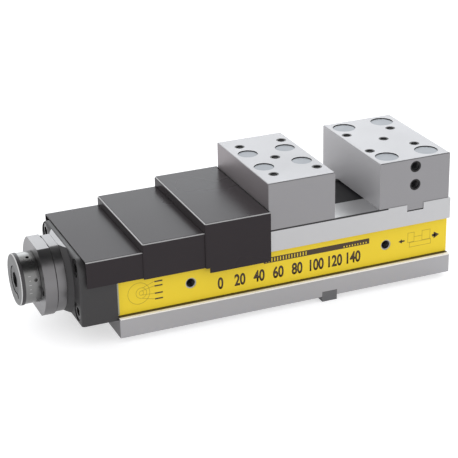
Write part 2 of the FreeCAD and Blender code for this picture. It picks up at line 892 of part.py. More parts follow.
def make_thrust_washers():
    """Two washers of the bearing on the collar's loaded side and a plain one behind it."""
    inner = journal_radius + bearing_radial_gap
    front = ring(spigot_end, spigot_end + washer_thickness, inner, washer_radius)
    back = ring(collar_left - washer_thickness, collar_left, inner, washer_radius)
    plain = ring(collar_right, bearing_stop, screw_radius + bearing_radial_gap, washer_radius)
    return [front, back, plain]


def make_roller_cage():
    """A thin cage with its rollers standing proud of both faces."""
    middle = spigot_end + bearing_stack / 2
    half = roller_radius / 2
    bore = journal_radius + bearing_radial_gap
    cage = ring(middle - half, middle + half, bore + over, washer_radius - over)
    inner = (bore + washer_radius - roller_length) / 2
    for step in range(roller_count):
        degrees = 360 / roller_count * step
        cage = cage.fuse(rod(
            roller_radius, around(inner, degrees, middle), around(inner + roller_length, degrees, middle)))
    return cage.removeSplitter()


def booster_flats():
    """What the booster's upper and lower flats take off."""
    outer = booster_flange_radius + over
    tools = []
    for side in (-1, 1):
        low, high = sorted(spindle_height + side * reach for reach in (booster_flat, outer))
        tools.append(wide_block(flange_front - over, boss_front, 2 * outer, low, high))
    return tools


def make_booster_body():
    """A turned body that stands on the boss and is screwed into the housing's bore."""
    body = turned([
        (spigot_end, bush_radius),
        (body_front, bush_radius),
        (body_front, booster_body_radius),
        (boss_front, booster_body_radius),
        (boss_front, booster_spigot_radius),
        (spigot_end, booster_spigot_radius),
    ])
    return cut_all(body, booster_flats() + flange_screw_rooms())


def make_booster_bush():
    return ring(spigot_end, body_front, journal_radius + running_gap, bush_radius)


def flange_screw_places():
    x = flange_front + flange_screw_pocket_depth
    step = 360 / flange_screw_count
    return [around(flange_screw_circle, flange_screw_angle + step * i, x) for i in range(flange_screw_count)]


def flange_screw_rooms():
    back = vec(-1, 0, 0)
    depth = flange_screw_pocket_depth + over
    rooms = []
    for place in flange_screw_places():
        rooms.append(screw_room(M5, tapped_hole_depth, place, back, M5["head"] + thread_gap, depth))
    return rooms


def make_booster_flange():
    """A flanged ring over the springs, set off from the body by a narrow groove."""
    hole = journal_radius + bearing_radial_gap
    pocket_front = flange_front + spring_pocket_wall
    groove = booster_flange_radius - booster_gap_depth
    flange = turned([
        (flange_front, hole),
        (flange_front, booster_flange_radius),
        (flange_back, booster_flange_radius),
        (flange_back, groove),
        (body_front, groove),
        (body_front, spring_pocket_radius),
        (pocket_front, spring_pocket_radius),
        (pocket_front, hole),
    ])
    return cut_all(flange, booster_flats() + flange_screw_rooms())


def make_flange_screws():
    back = vec(-1, 0, 0)
    return [cap_screw(M5, tapped_hole_depth, place, back) for place in flange_screw_places()]


def make_disc_springs():
    """Spring discs, pressed flat between the body and the flange's pocket."""
    inner = journal_radius + bearing_radial_gap
    first = flange_front + spring_pocket_wall
    thickness = (body_front - first) / spring_count
    places = [first + thickness * step for step in range(spring_count)]
    return [ring(x, x + thickness - running_gap, inner, spring_radius) for x in places]


def dial_hole_places():
    """The wrench holes around the collar and one hole for its stop screw."""
    step = 360 / dial_hole_count
    x = dial_back - dial_hole_offset
    places = [(dial_hole_angle + step * i, x) for i in range(dial_hole_count)]
    return places + [(dial_stop_angle, dial_back - dial_stop_offset)]


def make_force_dial():
    """A collar with radial holes for a pin wrench."""
    dial = ring(dial_front, dial_back, hub_radius + running_gap, dial_radius)
    for degrees, x in dial_hole_places():
        inner = around(dial_radius - dial_hole_depth, degrees, x)
        outer = around(dial_radius + over, degrees, x)
        dial = dial.cut(rod(dial_hole_radius, inner, outer))
    return dial


def make_dial_cap():
    """The dial's front disc, with a chamfered rim and an index slot at its bore."""
    inner = hub_radius + running_gap
    cap = turned([
        (dial_front, inner),
        (cap_front, inner),
        (cap_front, dial_cap_radius - dial_cap_chamfer),
        (cap_front + dial_cap_chamfer, dial_cap_radius),
        (dial_front, dial_cap_radius),
    ])
    half = dial_slot_width / 2
    slot = Part.makeBox(dial_slot_depth + over, inner + dial_slot_reach, dial_slot_width)
    slot.translate(vec(cap_front - over, 0, spindle_height - half))
    slot.rotate(vec(0, 0, spindle_height), vec(1, 0, 0), dial_slot_angle)
    return cap.cut(slot)


def make_drive_hub():
    """The hub that a crank turns, with a hexagonal socket."""
    front = cap_front + hub_recess
    hub = turned([
        (front, 0),
        (front, hub_radius - hub_chamfer),
        (front + hub_chamfer, hub_radius),
        (dial_back, hub_radius),
        (dial_back, tenon_radius),
        (dial_back - tenon_length, tenon_radius),
        (dial_back - tenon_length, 0),
    ])
    socket = set_down(hexagon(hub_socket_width, hub_socket_depth), around(0, 0, front), vec(-1, 0, 0))
    return cut_all(hub, [socket, drive_pin(thread_gap)])


def make_tail_bush():
    start = tail_bush_start
    return ring(start, start + tail_bush_length, tail_radius + running_gap, tail_bush_radius)


def make_tail_plug():
    return shaft(bed_overhang - tail_plug_thickness, bed_overhang, tail_bush_radius)


def save(name, shapes):
    """Writes one node; several solids stay separate inside it."""
    solids = shapes if isinstance(shapes, list) else [shapes]
    shape = solids[0] if len(solids) == 1 else Part.makeCompound(solids)
    shape.exportStep("parts/" + name + ".step")


def main():
    os.makedirs("parts", exist_ok=True)
    save("bed", make_bed())
    save("side_label", make_side_label())
    save("locating_keys", make_locating_keys())
    save("locating_key_screws", make_locating_key_screws())
    save("fixed_jaw", make_fixed_jaw())
    save("fixed_jaw_bolts", make_fixed_jaw_bolts())
    save("fixed_jaw_plugs", plugs(fixed_bolt_places(), fixed_pocket_radius))
    save("moving_jaw", make_moving_jaw())
    save("moving_jaw_bolts", make_moving_jaw_bolts())
    save("moving_jaw_plugs", plugs(moving_bolt_places(), moving_pocket_radius))
    save("jaw_slide", make_jaw_slide())
    save("lead_nut", make_lead_nut())
    save("nut_screws", make_nut_screws())
    save("chip_plate", make_chip_plate())
    save("chip_plate_screws", make_chip_plate_screws())
    save("jaw_cover", make_jaw_cover())
    save("jaw_cover_screws", make_jaw_cover_screws())
    save("middle_cover", make_middle_cover())
    save("fixed_cover", make_fixed_cover())
    save("fixed_cover_screws", make_fixed_cover_screws())
    save("end_housing", make_end_housing())
    save("housing_bolts", make_housing_bolts())
    save("spindle", make_spindle())
    save("drive_pin", drive_pin(0))
    save("thrust_washers", make_thrust_washers())
    save("roller_cage", make_roller_cage())
    save("booster_body", make_booster_body())
    save("booster_bush", make_booster_bush())
    save("booster_flange", make_booster_flange())
    save("flange_screws", make_flange_screws())
    save("disc_springs", make_disc_springs())
    save("force_dial", make_force_dial())
    save("dial_cap", make_dial_cap())
    save("drive_hub", make_drive_hub())
    save("tail_bush", make_tail_bush())
    save("tail_plug", make_tail_plug())


main()
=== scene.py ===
"""Looks of the power machine vise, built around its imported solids."""
import json
import math

import bpy
from mathutils import Matrix, Vector

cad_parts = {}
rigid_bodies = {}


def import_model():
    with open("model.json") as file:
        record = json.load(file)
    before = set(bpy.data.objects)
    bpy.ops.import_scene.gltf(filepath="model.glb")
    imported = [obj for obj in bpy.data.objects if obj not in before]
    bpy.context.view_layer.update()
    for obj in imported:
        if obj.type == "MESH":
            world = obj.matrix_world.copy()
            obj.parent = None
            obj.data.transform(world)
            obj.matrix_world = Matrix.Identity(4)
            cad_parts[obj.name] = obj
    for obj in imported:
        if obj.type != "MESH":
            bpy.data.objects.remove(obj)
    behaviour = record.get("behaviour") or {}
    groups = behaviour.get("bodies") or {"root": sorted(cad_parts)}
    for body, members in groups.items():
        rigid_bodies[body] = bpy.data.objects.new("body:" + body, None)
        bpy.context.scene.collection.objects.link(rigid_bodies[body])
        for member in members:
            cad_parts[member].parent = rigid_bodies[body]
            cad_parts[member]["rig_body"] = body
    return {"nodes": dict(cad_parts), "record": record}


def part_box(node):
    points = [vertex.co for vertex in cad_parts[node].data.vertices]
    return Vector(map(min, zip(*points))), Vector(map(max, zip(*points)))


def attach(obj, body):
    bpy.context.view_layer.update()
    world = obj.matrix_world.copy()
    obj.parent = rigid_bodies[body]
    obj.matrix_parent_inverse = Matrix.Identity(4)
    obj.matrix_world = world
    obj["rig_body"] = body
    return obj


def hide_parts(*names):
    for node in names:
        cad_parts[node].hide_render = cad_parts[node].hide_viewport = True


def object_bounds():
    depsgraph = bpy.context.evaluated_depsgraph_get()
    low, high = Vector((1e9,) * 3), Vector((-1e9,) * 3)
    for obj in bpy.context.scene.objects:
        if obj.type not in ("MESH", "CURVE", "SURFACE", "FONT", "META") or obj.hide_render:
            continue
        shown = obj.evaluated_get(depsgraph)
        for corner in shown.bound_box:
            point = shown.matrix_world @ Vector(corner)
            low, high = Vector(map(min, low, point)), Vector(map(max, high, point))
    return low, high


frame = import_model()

solid_box = [list(corner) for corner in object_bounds()]
MM = 0.001
PRINCIPLED = "Principled BSDF"
SIDES = ((-1, "near"), (1, "far"))

# Camera, placed by a fit to the photograph's straight edges
camera_place = (-0.6524, -1.2680, 0.6532)
camera_azimuth = math.radians(-22.29)
camera_elevation = math.radians(23.40)
camera_roll = math.radians(-1.22)
camera_lens = 119.84
camera_clip = 0.01
sensor_width = 36.0

# Studio: lamps, room, floor and the card that metal reflects, in metres and watts
lamp_aim = (-0.13, 0, 0.06)
backdrop_place = (0.9, 2.4, 1.15)
backdrop_size = (4.4, 1.7)
backdrop_power = 40
backdrop_colour = (0.93, 0.975, 1.0)
fill_place = (0.2, -2.6, 0.8)
fill_size = (2.4, 1.2)
fill_power = 14
room_light = 1.0
stage_roughness = 0.9
floor_size = 12
floor_drop = 0.05 * MM
floor_colour = (0.62, 0.62, 0.63)
floor_glow = 0.36
floor_lift = 0.2
card_place = (0.45, -0.62, 2.08)
card_size = (4.6, 2.6)
card_colour = (0.05, 0.05, 0.05)

# Merging of the solids' facets, and the edges that are broken
merge_distance = 0.002 * MM
flat_angle = math.radians(0.3)
sharp_angle = math.radians(30)
edge_angle = math.radians(25)
edge_segments = 2
flat_face_weight = 100

# Noise in the surfaces: the range it mostly keeps to, its detail and scale, and its relief
noise_low = 0.3
noise_high = 0.7
fine_detail = 4.0
broad_detail = 3.0
ring_detail = 3.0
turned_cloud_scale = 40.0
relief_strength = 0.3

# Sheens that aren't a bare metal's or a plain paint's
cover_specular = 0.12
cover_sheen = (0.86, 0.91, 1.0, 1.0)
plate_specular = 0.2

# How much of a face's normal lies along an axis
level_skin = 0.995
parallel = 0.95
mostly = 0.6
half = 0.5
partly = 0.4
crosswise = 0.3
mouth_slope = 0.15
slight = 0.1
square = 0.05
fold_slopes = (0.55, 0.88)

# Places of the faces that take a finish of their own, or a painted shade or highlight
axis_height = 49.0 * MM
bore_inset = 2.5 * MM
mouth_reach = 1.6 * MM
base_top = 20.4 * MM
ledge_height = 19.9 * MM
ledge_reach = 0.6 * MM
ledge_step = (61.0 * MM, 62.2 * MM)
rail_edge = 78.4 * MM
housing_front = -304.75 * MM
booster_gap_x = -319.0 * MM
booster_gap_reach = 0.9 * MM
cap_slot_floor = -349.0 * MM
rear_fold = 1.8 * MM
rear_fold_segments = 3
rim_reach = 0.06 * MM

# Tapped holes that open outwards: M8 in the jaws' tops, M10 in their sides and the bed's web
m8_pitch = 1.25 * MM
m8_core = 3.4 * MM
m8_mouth = 4.25 * MM
m10_pitch = 1.5 * MM
m10_core = 4.25 * MM
m10_mouth = 5.0 * MM
mouth_growth = 0.8 * MM
fixed_hole_columns = (8.0 * MM, 57.5 * MM)
fixed_hole_spread = 25.0 * MM
fixed_hole_middle = 36.6 * MM
moving_hole_columns = (-102.6 * MM, -57.3 * MM)
moving_hole_spread = 41.0 * MM
moving_hole_middle = -82.5 * MM
fixed_side_reach = 62.5 * MM
fixed_side_holes_x = {"near": 38.6 * MM, "far": 38.0 * MM}
fixed_side_holes_z = (100.0 * MM, 118.8 * MM)
bed_holes = [(-195.9 * MM, 39.0 * MM), (10.4 * MM, 39.0 * MM)]
bed_hole_reach = 6.0 * MM
bed_web_reach = 56.9 * MM

# Thread ridges, three-cornered across
ridge_corners = 3
ridge_height = 0.35 * MM
thread_depth = 14.0 * MM
thread_steps = 20

# Side label's print: the stripe with its ticks, rows of (first tick, count, tick height)
label_face = -57.4 * MM
print_rise = 0.06 * MM
stripe_left = -121.0 * MM
stripe_right = -8.0 * MM
stripe_foot = 44.1 * MM
stripe_top = 49.8 * MM
tick_width = 1.0 * MM
tick_pitch = 3.0 * MM
tick_lift = 0.9 * MM
tick_rows = [(-119.0 * MM, 15, 3.8 * MM), (-36.0 * MM, 9, 1.6 * MM)]

# Numerals of the travel scale
scale_left = -166.0 * MM
scale_pitch = 20.0 * MM
scale_numerals = ["0", "20", "40", "60", "80", "100", "120", "140"]
numeral_height = 16.2 * MM
numeral_foot = 27.4 * MM
numeral_squeeze = 0.7
numeral_boldness = 0.5 * MM

# Dial sign: rings of (shift, radius), and bars with the pointers that lead to them
dial_sign_place = (-247.8 * MM, 38.8 * MM)
dial_sign_rings = [(0.0, 11.0 * MM), (2.5 * MM, 5.5 * MM), (2.5 * MM, 2.4 * MM)]
ring_sides = 48
arrow_head_sides = 3
line_width = 0.45 * MM
sign_bar_rises = [8.4 * MM, 3.9 * MM, -3.6 * MM, -9.4 * MM]
sign_bar_left = 15.6 * MM
sign_bar_right = 23.6 * MM
sign_bar_height = 1.4 * MM
pointer_start = 3.5 * MM
pointer_end = 15.0 * MM
pointer_lift = 0.9 * MM
pointer_share = 0.6

# Travel sign: arrows of (tip, tail, rise, size), frames of (left, foot, right, top), a screw
travel_sign_place = (48.0 * MM, 40.0 * MM)
travel_arrows = [
    (-23.4 * MM, -16.6 * MM, -0.6 * MM, 2.6 * MM),
    (22.6 * MM, 14.4 * MM, -0.4 * MM, 4.2 * MM),
]
travel_frames = [
    (-13.0 * MM, -3.0 * MM, -6.0 * MM, 7.0 * MM),
    (3.0 * MM, -3.0 * MM, 12.0 * MM, 7.0 * MM),
    (-11.0 * MM, -8.5 * MM, 13.0 * MM, -3.6 * MM),
]
travel_screw = (-6.0 * MM, 3.0 * MM)
travel_screw_rise = 2.0 * MM

# The label's bare left edge
border_width = 1.3 * MM
border_gap = 0.6 * MM

# Graduation on the dial's collar
mark_angles = [64, 74, 84, 94, 104]
mark_x = -341.0 * MM
mark_radius = 24.3 * MM
mark_width = 0.35 * MM
mark_lengths = (2.6 * MM, 1.6 * MM)
mark_bevel = print_rise / 4


def select_only(piece):
    bpy.ops.object.select_all(action="DESELECT")
    piece.select_set(True)
    bpy.context.view_layer.objects.active = piece


def edit_all(piece):
    """Edit mode with the whole mesh selected."""
    select_only(piece)
    bpy.ops.object.mode_set(mode="EDIT")
    bpy.ops.mesh.select_all(action="SELECT")


def leave_edit():
    bpy.ops.object.mode_set(mode="OBJECT")


def settle_active():
    """Puts the active piece's place, turn and scale into its mesh."""
    bpy.ops.object.transform_apply(location=True, rotation=True, scale=True)
    return bpy.context.active_object


def settle(piece, name):
    piece.name = name
    select_only(piece)
    return settle_active()


def join_pieces(pieces, name):
    select_only(pieces[0])
    for piece in pieces:
        piece.select_set(True)
    bpy.ops.object.join()
    return settle(bpy.context.view_layer.objects.active, name)


def apply_modifier(piece, modifier):
    select_only(piece)
    bpy.ops.object.modifier_apply(modifier=modifier.name)


def smooth(piece):
    """Smooth shading that leaves the large flat faces flat."""
    select_only(piece)
    bpy.ops.object.shade_smooth_by_angle(angle=sharp_angle)
    weigh = piece.modifiers.new("flat_faces_lead", "WEIGHTED_NORMAL")
    weigh.mode = "FACE_AREA"
    weigh.weight = flat_face_weight
    weigh.keep_sharp = True
    apply_modifier(piece, weigh)


def paint_faces(piece, material, wanted):
    """Gives a second finish, or a painted shade or highlight, to the faces that the test picks out
    by place and direction.
    """
    piece.data.materials.append(material)
    index = len(piece.data.materials) - 1
    for face in piece.data.polygons:
        if wanted(face.center, face.normal):
            face.material_index = index


def break_edges(piece, width):
    """Rounds every sharp edge as a deburring pass would."""
    bevel = piece.modifiers.new("broken_edges", "BEVEL")
    bevel.width = width
    bevel.segments = edge_segments
    bevel.limit_method = "ANGLE"
    bevel.angle_limit = edge_angle
    bevel.miter_outer = "MITER_ARC"
    bevel.use_clamp_overlap = True
    apply_modifier(piece, bevel)


def bevel_edges(piece, chosen, offset, segments):
    """Bevels the edges whose two ends pass the test."""
    points = piece.data.vertices
    edit_all(piece)
    bpy.ops.mesh.select_mode(type="EDGE")
    bpy.ops.mesh.select_all(action="DESELECT")
    leave_edit()
    for edge in piece.data.edges:
        edge.select = chosen(*[points[i] for i in edge.vertices])
    bpy.ops.object.mode_set(mode="EDIT")
    bpy.ops.mesh.bevel(offset=offset, segments=segments, affect="EDGES")
    leave_edit()


def finished(node, width, material):
    """A merged copy of a machined piece with broken edges, which stands for its solid."""
    source = frame["nodes"][node]
    piece = bpy.data.objects.new(node + "_finished", source.data.copy())
    bpy.context.scene.collection.objects.link(piece)
    edit_all(piece)
    bpy.ops.mesh.customdata_custom_splitnormals_clear()
    bpy.ops.mesh.remove_doubles(threshold=merge_distance)
    bpy.ops.mesh.dissolve_limited(angle_limit=flat_angle)
    leave_edit()
    if node in TAPPED:
        open_mouths(piece, TAPPED[node])
    if node == "jaw_cover":
        round_rear_fold(piece, node)
    if width:
        break_edges(piece, width)
    smooth(piece)
    piece.data.materials.clear()
    piece.data.materials.append(material)
    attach(piece, source["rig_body"])
    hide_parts(node)
    return piece


def dress(piece, material, body):
    """Gives a new piece its material and body."""
    piece.data.materials.clear()
    piece.data.materials.append(material)
    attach(piece, body)
    return piece


def math_node(tree, operation):
    node = tree.nodes.new("ShaderNodeMath")
    node.operation = operation
    return node


def vector_node(tree, operation):
    node = tree.nodes.new("ShaderNodeVectorMath")
    node.operation = operation
    return node


def new_group(name, inputs, outputs):
    """A shader node group with the named sockets, and the nodes at its two ends."""
    group = bpy.data.node_groups.new(name, "ShaderNodeTree")
    for socket, kind in inputs:
        group.interface.new_socket(socket, in_out="INPUT", socket_type=kind)
    for socket in outputs:
        group.interface.new_socket(socket, in_out="OUTPUT", socket_type="NodeSocketFloat")
    return group, group.nodes.new("NodeGroupInput"), group.nodes.new("NodeGroupOutput")


def make_grain_group():
    """Fine lines or specks: noise stretched along one axis, and a broad soft variation."""
    sockets = [
        ("Stretch", "NodeSocketVector"),
        ("Fine", "NodeSocketFloat"),
        ("Broad", "NodeSocketFloat"),
    ]
    group, inside, outside = new_group("surface_grain", sockets, ["Grain", "Cloud"])
    place = group.nodes.new("ShaderNodeTexCoord")
    multiply = vector_node(group, "MULTIPLY")
    fine = group.nodes.new("ShaderNodeTexNoise")
    fine.inputs["Detail"].default_value = fine_detail
    broad = group.nodes.new("ShaderNodeTexNoise")
    broad.inputs["Detail"].default_value = broad_detail
    links = group.links
    links.new(place.outputs["Object"], multiply.inputs[0])
    links.new(inside.outputs["Stretch"], multiply.inputs[1])
    links.new(multiply.outputs["Vector"], fine.inputs["Vector"])
    links.new(inside.outputs["Fine"], fine.inputs["Scale"])
    links.new(place.outputs["Object"], broad.inputs["Vector"])
    links.new(inside.outputs["Broad"], broad.inputs["Scale"])
    links.new(fine.outputs["Fac"], outside.inputs["Grain"])
    links.new(broad.outputs["Fac"], outside.inputs["Cloud"])
    return group


def make_turning_group():
    """Rings around the spindle's axis, as a lathe tool leaves them."""
    group, inside, outside = new_group(
        "turning_marks", [("Rings", "NodeSocketFloat")], ["Marks", "Cloud"])
    place = group.nodes.new("ShaderNodeTexCoord")
    centre = vector_node(group, "SUBTRACT")
    centre.inputs[1].default_value = (0, 0, axis_height)
    split = group.nodes.new("ShaderNodeSeparateXYZ")
    flat = group.nodes.new("ShaderNodeCombineXYZ")
    radius = vector_node(group, "LENGTH")
    along = group.nodes.new("ShaderNodeCombineXYZ")
    noise = group.nodes.new("ShaderNodeTexNoise")
    noise.inputs["Detail"].default_value = ring_detail
    cloud = group.nodes.new("ShaderNodeTexNoise")
    cloud.inputs["Scale"].default_value = turned_cloud_scale
    links = group.links
    links.new(place.outputs["Object"], centre.inputs[0])
    links.new(centre.outputs["Vector"], split.inputs["Vector"])
    links.new(split.outputs["Y"], flat.inputs["Y"])
    links.new(split.outputs["Z"], flat.inputs["Z"])
    links.new(flat.outputs["Vector"], radius.inputs[0])
    links.new(split.outputs["X"], along.inputs["X"])
    links.new(radius.outputs["Value"], along.inputs["Y"])
    links.new(along.outputs["Vector"], noise.inputs["Vector"])
    links.new(inside.outputs["Rings"], noise.inputs["Scale"])
    links.new(place.outputs["Object"], cloud.inputs["Vector"])
    links.new(noise.outputs["Fac"], outside.inputs["Marks"])
    links.new(cloud.outputs["Fac"], outside.inputs["Cloud"])
    return group


def new_material(name, metallic, roughness):
    material = bpy.data.materials.new(name)
    material.use_nodes = True
    shader = material.node_tree.nodes[PRINCIPLED]
    shader.inputs["Metallic"].default_value = metallic
    shader.inputs["Roughness"].default_value = roughness
    return material, material.node_tree, shader


def place_group(tree, group, values):
    """Puts a node group into a material with its own input values."""
    node = tree.nodes.new("ShaderNodeGroup")
    node.node_tree = group
    for socket, value in values.items():
        node.inputs[socket].default_value = value
    return node


def mixed_colour(tree, shader, factor, dark, light):
    """The base colour runs from dark to light with a value that changes over the surface."""
    mix = tree.nodes.new("ShaderNodeMix")
    mix.data_type = "RGBA"
    mix.inputs["A"].default_value = (*dark, 1)
    mix.inputs["B"].default_value = (*light, 1)
    tree.links.new(factor, mix.inputs["Factor"])
    tree.links.new(mix.outputs["Result"], shader.inputs["Base Color"])


def ranged(tree, value, low, high, socket):
    """Maps a noise value onto a range and feeds a socket with it."""
    span = tree.nodes.new("ShaderNodeMapRange")
    span.inputs["From Min"].default_value = noise_low
    span.inputs["From Max"].default_value = noise_high
    span.inputs["To Min"].default_value = low
    span.inputs["To Max"].default_value = high
    tree.links.new(value, span.inputs["Value"])
    tree.links.new(span.outputs["Result"], socket)


def bump(tree, shader, height, strength, distance):
    node = tree.nodes.new("ShaderNodeBump")
    node.inputs["Strength"].default_value = strength
    node.inputs["Distance"].default_value = distance
    tree.links.new(height, node.inputs["Height"])
    tree.links.new(node.outputs["Normal"], shader.inputs["Normal"])


def varied(name, group, values, relief, dark, light, metallic, rough, depth, strength):
    """A material whose colour, roughness and relief change over the surface with a node group."""
    material, tree, shader = new_material(name, metallic, rough[0])
    node = place_group(tree, group, values)
    mixed_colour(tree, shader, node.outputs["Cloud"], dark, light)
    ranged(tree, node.outputs["Cloud"], *rough, shader.inputs["Roughness"])
    bump(tree, shader, node.outputs[relief], strength, depth)
    return material


def grained(
        name, dark, light, metallic, rough, lines, fine, broad, depth, strength=relief_strength):
    """A surface with grain lines or specks, such as ground steel or paint."""
    values = {"Stretch": lines, "Fine": fine, "Broad": broad}
    return varied(name, grain_group, values, "Grain", dark, light, metallic, rough, depth, strength)


def lathed(name, dark, light, metallic, rough, rings, depth, strength=relief_strength):
    """A turned surface with tool rings around the spindle's axis."""
    values = {"Rings": rings}
    return varied(
        name, turning_group, values, "Marks", dark, light, metallic, rough, depth, strength)


def stepped_across(name, inner, outer, step, metallic, roughness):
    """One colour near the object's middle plane and another beyond a step in Y, on both sides."""
    material, tree, shader = new_material(name, metallic, roughness)
    place = tree.nodes.new("ShaderNodeTexCoord")
    split = tree.nodes.new("ShaderNodeSeparateXYZ")
    across = math_node(tree, "ABSOLUTE")
    span = tree.nodes.new("ShaderNodeMapRange")
    span.inputs["From Min"].default_value = step[0]
    span.inputs["From Max"].default_value = step[1]
    tree.links.new(place.outputs["Object"], split.inputs["Vector"])
    tree.links.new(split.outputs["Y"], across.inputs[0])
    tree.links.new(across.outputs["Value"], span.inputs["Value"])
    mixed_colour(tree, shader, span.outputs["Result"], inner, outer)
    return material


grain_group = make_grain_group()
turning_group = make_turning_group()

# Which way grain lines run: noise is stretched along the axis with the small factor
ALONG_X = (0.03, 1, 1)
ALONG_Y = (1, 0.03, 1)
EVEN = (1, 1, 1)

# Jaws
jaw_steel = grained(
    "ground_jaw_steel", dark=(0.29, 0.285, 0.295), light=(0.33, 0.325, 0.335), metallic=0.85,
    rough=(0.36, 0.44), lines=ALONG_Y, fine=900, broad=12, depth=0.02 * MM)
# The gripping faces take a lighter, less metallic copy of the jaw steel: painted light against the
# shade of the facing jaw
gripping_face_light = grained(
    "ground_gripping_face_painted_light", dark=(0.50, 0.495, 0.51), light=(0.54, 0.535, 0.55), metallic=0.35,
    rough=(0.5, 0.6), lines=ALONG_Y, fine=800, broad=10, depth=0.03 * MM)
jaw_end_steel = grained(
    "ground_jaw_end", dark=(0.32, 0.293, 0.305), light=(0.36, 0.33, 0.345), metallic=0.8,
    rough=(0.42, 0.5), lines=ALONG_Y, fine=900, broad=12, depth=0.02 * MM)
plug_steel = grained(
    "jaw_plug_steel", dark=(0.135, 0.142, 0.155), light=(0.165, 0.172, 0.187), metallic=1.0,
    rough=(0.32, 0.40), lines=EVEN, fine=800, broad=40, depth=0.01 * MM)

# Bed
bed_steel = grained(
    "machined_rail_steel", dark=(0.53, 0.53, 0.54), light=(0.60, 0.60, 0.61), metallic=0.9,
    rough=(0.40, 0.48), lines=ALONG_X, fine=700, broad=14, depth=0.02 * MM)
# A darker copy of the rail steel for the base: painted shade, as the base reflects the shadowed
# floor
bed_foot_shade = grained(
    "machined_bed_foot_painted_shade", dark=(0.42, 0.415, 0.43), light=(0.47, 0.465, 0.48), metallic=0.9,
    rough=(0.42, 0.5), lines=ALONG_X, fine=700, broad=14, depth=0.02 * MM)
# A darker copy of the bed steel for its end faces: painted shade under the housing
bed_end_shade = grained(
    "bed_end_faces_painted_shade", dark=(0.22, 0.215, 0.22), light=(0.26, 0.255, 0.26), metallic=0.9,
    rough=(0.45, 0.55), lines=ALONG_Y, fine=700, broad=14, depth=0.02 * MM)
rail_top = grained(
    "ground_rail_top", dark=(0.44, 0.44, 0.445), light=(0.48, 0.48, 0.485), metallic=0.85,
    rough=(0.30, 0.36), lines=ALONG_X, fine=700, broad=14, depth=0.01 * MM)
# Painted shade: a dark strip for the rails' top chamfers, the groove at the booster and the cover's
# fold against the jaw
shade_line = grained(
    "painted_shade_edges", dark=(0.075, 0.072, 0.075), light=(0.095, 0.092, 0.095), metallic=0.6,
    rough=(0.5, 0.6), lines=ALONG_X, fine=700, broad=14, depth=0.01 * MM)
# Painted shade on the ledge's top near the web, and a painted highlight on its outer broken edge
ledge_shade_and_highlight = stepped_across(
    "ledge_painted_shade_and_highlight", inner=(0.075, 0.058, 0.018), outer=(0.92, 0.90, 0.87), step=ledge_step,
    metallic=0.2, roughness=0.6)
key_steel = grained(
    "hardened_key", dark=(0.15, 0.15, 0.155), light=(0.18, 0.18, 0.185), metallic=0.8,
    rough=(0.42, 0.5), lines=ALONG_X, fine=700, broad=14, depth=0.02 * MM)

# Holes and threads: painted shade in the bores and countersinks, and a painted highlight on the bed
# holes' mouths
bore_shade = grained(
    "bores_painted_shade", dark=(0.020, 0.020, 0.021), light=(0.032, 0.032, 0.033), metallic=0.6,
    rough=(0.45, 0.55), lines=EVEN, fine=700, broad=40, depth=0.02 * MM)
mouth_shade = grained(
    "countersinks_painted_shade", dark=(0.032, 0.031, 0.031), light=(0.045, 0.044, 0.044), metallic=0.8,
    rough=(0.4, 0.5), lines=EVEN, fine=700, broad=40, depth=0.02 * MM)
bed_mouth_highlight = grained(
    "bed_hole_mouths_painted_highlight", dark=(0.36, 0.355, 0.34), light=(0.42, 0.415, 0.40), metallic=0.6,
    rough=(0.4, 0.5), lines=EVEN, fine=700, broad=40, depth=0.02 * MM)
thread_steel = grained(
    "cut_threads", dark=(0.16, 0.16, 0.165), light=(0.22, 0.22, 0.225), metallic=0.9,
    rough=(0.35, 0.45), lines=EVEN, fine=900, broad=40, depth=0.01 * MM)

# Side label
label_yellow = grained(
    "label_yellow", dark=(0.82, 0.60, 0.020), light=(0.86, 0.64, 0.027), metallic=0.0,
    rough=(0.45, 0.52), lines=EVEN, fine=500, broad=20, depth=0.01 * MM, strength=0.1)
label_ink = grained(
    "label_ink", dark=(0.045, 0.025, 0.012), light=(0.055, 0.032, 0.014), metallic=0.0,
    rough=(0.4, 0.5), lines=EVEN, fine=500, broad=30, depth=0.01 * MM, strength=0.1)
label_line = grained(
    "label_faint_line", dark=(0.42, 0.30, 0.020), light=(0.48, 0.34, 0.022), metallic=0.0,
    rough=(0.45, 0.52), lines=EVEN, fine=500, broad=30, depth=0.01 * MM, strength=0.1)
label_border = grained(
    "label_bare_edge", dark=(0.34, 0.35, 0.29), light=(0.38, 0.39, 0.33), metallic=0.3,
    rough=(0.45, 0.52), lines=EVEN, fine=500, broad=20, depth=0.01 * MM, strength=0.1)

# Covers, housing and the channel's plate
cover_sheet = grained(
    "cover_satin_sheet", dark=(0.030, 0.025, 0.027), light=(0.036, 0.030, 0.032), metallic=0.0,
    rough=(0.26, 0.31), lines=EVEN, fine=1400, broad=9, depth=0.005 * MM, strength=0.1)
cover_shader = cover_sheet.node_tree.nodes[PRINCIPLED]
cover_shader.inputs["Specular IOR Level"].default_value = cover_specular
cover_shader.inputs["Specular Tint"].default_value = cover_sheen
# Painted highlight along the covers' folds
fold_highlight = grained(
    "cover_fold_painted_highlight", dark=(0.38, 0.38, 0.385), light=(0.46, 0.46, 0.465), metallic=0.2,
    rough=(0.4, 0.5), lines=EVEN, fine=1400, broad=9, depth=0.01 * MM, strength=0.2)
housing_paint = grained(
    "housing_black_paint", dark=(0.030, 0.029, 0.030), light=(0.042, 0.040, 0.042), metallic=0.1,
    rough=(0.42, 0.52), lines=EVEN, fine=500, broad=25, depth=0.06 * MM)
black_plate = grained(
    "channel_plate_black", dark=(0.012, 0.011, 0.013), light=(0.018, 0.017, 0.019), metallic=0.0,
    rough=(0.55, 0.65), lines=ALONG_X, fine=600, broad=20, depth=0.02 * MM)
plate_shader = black_plate.node_tree.nodes[PRINCIPLED]
plate_shader.inputs["Specular IOR Level"].default_value = plate_specular

